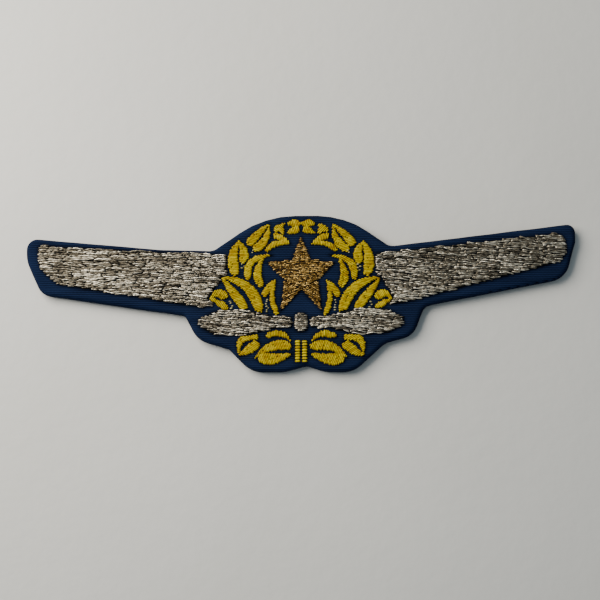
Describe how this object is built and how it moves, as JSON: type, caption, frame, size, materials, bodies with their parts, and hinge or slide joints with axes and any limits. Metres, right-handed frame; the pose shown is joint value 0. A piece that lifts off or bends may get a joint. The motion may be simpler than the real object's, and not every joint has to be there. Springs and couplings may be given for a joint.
{
  "type": "embroidered pilot wings badge",
  "caption": "Cloth pilot wings badge with raised thread wings, propeller, star and laurel wreath, a turned edge over a stiff core and a flat lined back.",
  "frame": {"origin": "middle of the badge's overall length and height, on the outer surface of the back lining", "axes": "+X along the wings to the viewer's right, +Y up the badge towards the top of the wreath, +Z out of the face"},
  "size_m": [0.09, 0.026, 0.0025],
  "materials": {
    "ground_cloth": "fine ribbed navy blue weave, matt with a faint sheen",
    "silver_thread": "tarnished silver metallic thread in long glittering floats",
    "bronze_thread": "bronze gold metallic thread in short glittering floats",
    "yellow_thread": "glossy yellow rayon thread in satin rows",
    "buckram": "starched open buckram, matt",
    "felt": "thin dark felt, matt",
    "fusible_web": "melted adhesive web, waxy",
    "lining_cloth": "plain woven cotton, matt"
  },
  "bodies": {
    "root": {"face_cloth": "ground_cloth", "buckram_core": "buckram", "felt_padding": "felt", "fusible_web": "fusible_web", "lining": "lining_cloth", "star": "bronze_thread", "propeller_hub": "silver_thread", "wreath_tie": "yellow_thread", "left_wing": "silver_thread", "left_propeller_blade": "silver_thread", "right_wing": "silver_thread", "right_propeller_blade": "silver_thread", "left_crown_bud": "yellow_thread", "left_small_bud": "yellow_thread", "left_upper_outer_leaf": "yellow_thread", "left_upper_inner_leaf": "yellow_thread", "left_middle_outer_leaf": "yellow_thread", "left_middle_inner_leaf": "yellow_thread", "left_lower_big_leaf": "yellow_thread", "left_lower_small_leaf": "yellow_thread", "left_lower_inner_leaf": "yellow_thread", "left_foot_outer_leaf": "yellow_thread", "left_foot_big_leaf": "yellow_thread", "left_foot_arch_leaf": "yellow_thread", "right_crown_bud": "yellow_thread", "right_small_bud": "yellow_thread", "right_upper_outer_leaf": "yellow_thread", "right_upper_inner_leaf": "yellow_thread", "right_middle_outer_leaf": "yellow_thread", "right_middle_inner_leaf": "yellow_thread", "right_lower_big_leaf": "yellow_thread", "right_lower_small_leaf": "yellow_thread", "right_lower_inner_leaf": "yellow_thread", "right_foot_outer_leaf": "yellow_thread", "right_foot_big_leaf": "yellow_thread", "right_foot_arch_leaf": "yellow_thread"}
  },
  "joints": []
}
